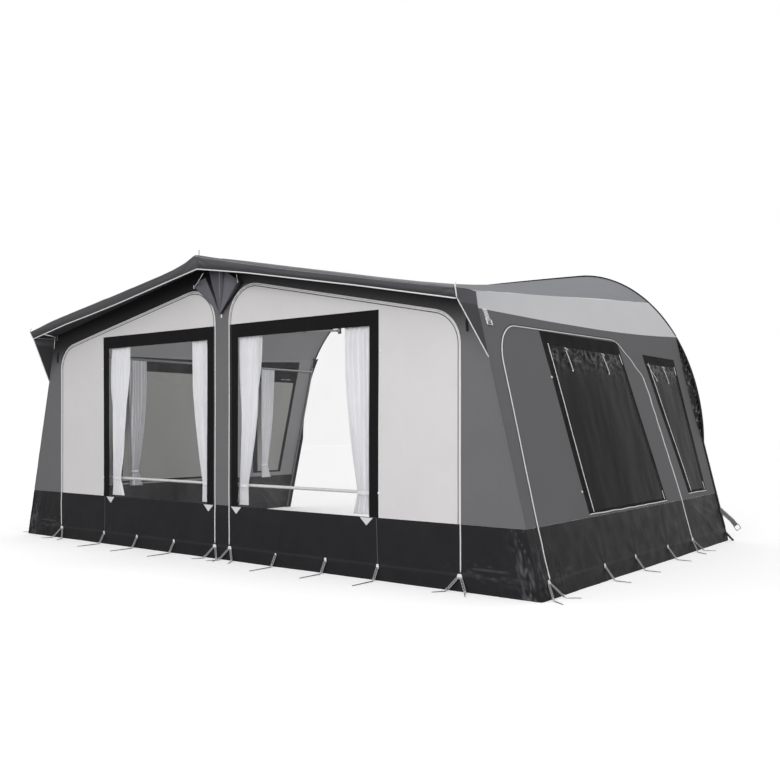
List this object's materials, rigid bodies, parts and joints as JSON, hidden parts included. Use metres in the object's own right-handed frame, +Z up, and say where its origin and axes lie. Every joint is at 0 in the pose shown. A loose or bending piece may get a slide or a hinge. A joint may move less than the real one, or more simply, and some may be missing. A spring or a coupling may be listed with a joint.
{
  "type": "caravan awning",
  "caption": "Full caravan awning: steel-tube frame, cloth roof, hood and walls, windows with curtains, dark skirt pegged down, open toward the caravan.",
  "frame": {"origin": "on the ground, in the middle of the outline with its pegs", "axes": "+X across the front to the right, +Y from the front wall toward the caravan, +Z up"},
  "size_m": [5.6382, 3.703, 2.459],
  "materials": {
    "light_cloth": "woven cloth",
    "grey_cloth": "woven cloth",
    "hood_cloth": "woven cloth",
    "roof_cloth": "coated cloth",
    "band_cloth": "coated cloth",
    "skirt_pvc": "soft sheet, slight gloss",
    "window_frame_pvc": "soft sheet",
    "clear_foil": "clear film",
    "tinted_foil": "tinted film",
    "white_cord": "piping",
    "curtain_white": "thin woven cloth",
    "black_rubber": "matt",
    "zinc_steel": "zinc plated tube",
    "white_plastic": "moulded"
  },
  "bodies": {
    "tent": {"front_skirt": "skirt_pvc", "side_skirt_left": "skirt_pvc", "side_skirt_right": "skirt_pvc", "front_surround": "grey_cloth", "side_surround_left": "grey_cloth", "side_surround_right": "grey_cloth", "side_panel_left": "grey_cloth", "side_panel_right": "grey_cloth", "rear_seal_left": "black_rubber", "rear_seal_right": "black_rubber", "keder": "black_rubber", "roof_panel": "roof_cloth", "roof_side_left": "band_cloth", "roof_side_right": "band_cloth", "hood": "hood_cloth", "centre_gusset": "hood_cloth", "hood_piping": "white_cord", "veranda_rail_left": "white_plastic", "veranda_rail_right": "white_plastic", "frame_connector_centre": "zinc_steel", "frame_connector_left": "zinc_steel", "frame_connector_right": "zinc_steel", "rail_bracket_centre": "zinc_steel", "rail_bracket_left": "zinc_steel", "rail_bracket_right": "zinc_steel", "centre_rafter": "zinc_steel", "side_rafter_left": "zinc_steel", "side_rafter_right": "zinc_steel", "gable_rail_left": "zinc_steel", "gable_rail_right": "zinc_steel", "leg_upper_centre": "zinc_steel", "leg_upper_left": "zinc_steel", "leg_upper_right": "zinc_steel", "eaves_rail_left": "zinc_steel", "eaves_rail_right": "zinc_steel", "rear_upright_left": "zinc_steel", "rear_upright_right": "zinc_steel"},
    "front_panel_left": {"front_panel_left": "light_cloth", "front_window_frame_left": "window_frame_pvc", "front_window_left": "clear_foil", "curtain_track_left": "white_plastic"},
    "curtain_outer_left": {"curtain_outer_left": "curtain_white"},
    "curtain_inner_left": {"curtain_inner_left": "curtain_white"},
    "side_window_front_left": {"side_window_front_left": "tinted_foil"},
    "side_window_rear_left": {"side_window_rear_left": "tinted_foil"},
    "side_curtain_front_left": {"side_curtain_front_left": "curtain_white"},
    "side_curtain_rear_left": {"side_curtain_rear_left": "curtain_white"},
    "front_panel_right": {"front_panel_right": "light_cloth", "front_window_frame_right": "window_frame_pvc", "front_window_right": "clear_foil", "curtain_track_right": "white_plastic"},
    "curtain_outer_right": {"curtain_outer_right": "curtain_white"},
    "curtain_inner_right": {"curtain_inner_right": "curtain_white"},
    "side_window_front_right": {"side_window_front_right": "tinted_foil"},
    "side_window_rear_right": {"side_window_rear_right": "tinted_foil"},
    "side_curtain_front_right": {"side_curtain_front_right": "curtain_white"},
    "side_curtain_rear_right": {"side_curtain_rear_right": "curtain_white"},
    "leg_lower_centre": {"leg_lower_centre": "zinc_steel"},
    "leg_lower_left": {"leg_lower_left": "zinc_steel"},
    "leg_lower_right": {"leg_lower_right": "zinc_steel"}
  },
  "joints": [
    {"name": "front_panel_left_fold", "type": "hinge", "parent": "tent", "child": "front_panel_left", "pos_m": [0, -1.5915, 0.406], "axis": [1, 0, 0], "range_deg": [0, 100]},
    {"name": "curtain_outer_left_slide", "type": "slide", "parent": "front_panel_left", "child": "curtain_outer_left", "axis": [1, 0, 0], "range_m": [0, 0.38]},
    {"name": "curtain_inner_left_slide", "type": "slide", "parent": "front_panel_left", "child": "curtain_inner_left", "axis": [-1, 0, 0], "range_m": [0, 0.39]},
    {"name": "side_window_front_left_lift", "type": "hinge", "parent": "tent", "child": "side_window_front_left", "pos_m": [-2.2745, 0, 1.542], "axis": [0, 1, 0], "range_deg": [0, 110]},
    {"name": "side_window_rear_left_lift", "type": "hinge", "parent": "tent", "child": "side_window_rear_left", "pos_m": [-2.28325, 0, 1.507], "axis": [0, 1, 0], "range_deg": [0, 110]},
    {"name": "side_curtain_front_left_slide", "type": "slide", "parent": "tent", "child": "side_curtain_front_left", "axis": [0, 1, 0], "range_m": [0, 1.2]},
    {"name": "side_curtain_rear_left_slide", "type": "slide", "parent": "tent", "child": "side_curtain_rear_left", "axis": [0, 1, 0], "range_m": [0, 0.5]},
    {"name": "front_panel_right_fold", "type": "hinge", "parent": "tent", "child": "front_panel_right", "pos_m": [0, -1.5915, 0.406], "axis": [1, 0, 0], "range_deg": [0, 100]},
    {"name": "curtain_outer_right_slide", "type": "slide", "parent": "front_panel_right", "child": "curtain_outer_right", "axis": [-1, 0, 0], "range_m": [0, 0.38]},
    {"name": "curtain_inner_right_slide", "type": "slide", "parent": "front_panel_right", "child": "curtain_inner_right", "axis": [1, 0, 0], "range_m": [0, 0.39]},
    {"name": "side_window_front_right_lift", "type": "hinge", "parent": "tent", "child": "side_window_front_right", "pos_m": [2.2745, 0, 1.542], "axis": [0, -1, 0], "range_deg": [0, 110]},
    {"name": "side_window_rear_right_lift", "type": "hinge", "parent": "tent", "child": "side_window_rear_right", "pos_m": [2.28325, 0, 1.507], "axis": [0, -1, 0], "range_deg": [0, 110]},
    {"name": "side_curtain_front_right_slide", "type": "slide", "parent": "tent", "child": "side_curtain_front_right", "axis": [0, 1, 0], "range_m": [0, 1.2]},
    {"name": "side_curtain_rear_right_slide", "type": "slide", "parent": "tent", "child": "side_curtain_rear_right", "axis": [0, 1, 0], "range_m": [0, 0.5]},
    {"name": "leg_centre_telescope", "type": "slide", "parent": "tent", "child": "leg_lower_centre", "axis": [0, 0, 1], "range_m": [0, 0.25]},
    {"name": "leg_left_telescope", "type": "slide", "parent": "tent", "child": "leg_lower_left", "axis": [0, 0, 1], "range_m": [0, 0.25]},
    {"name": "leg_right_telescope", "type": "slide", "parent": "tent", "child": "leg_lower_right", "axis": [0, 0, 1], "range_m": [0, 0.25]}
  ]
}
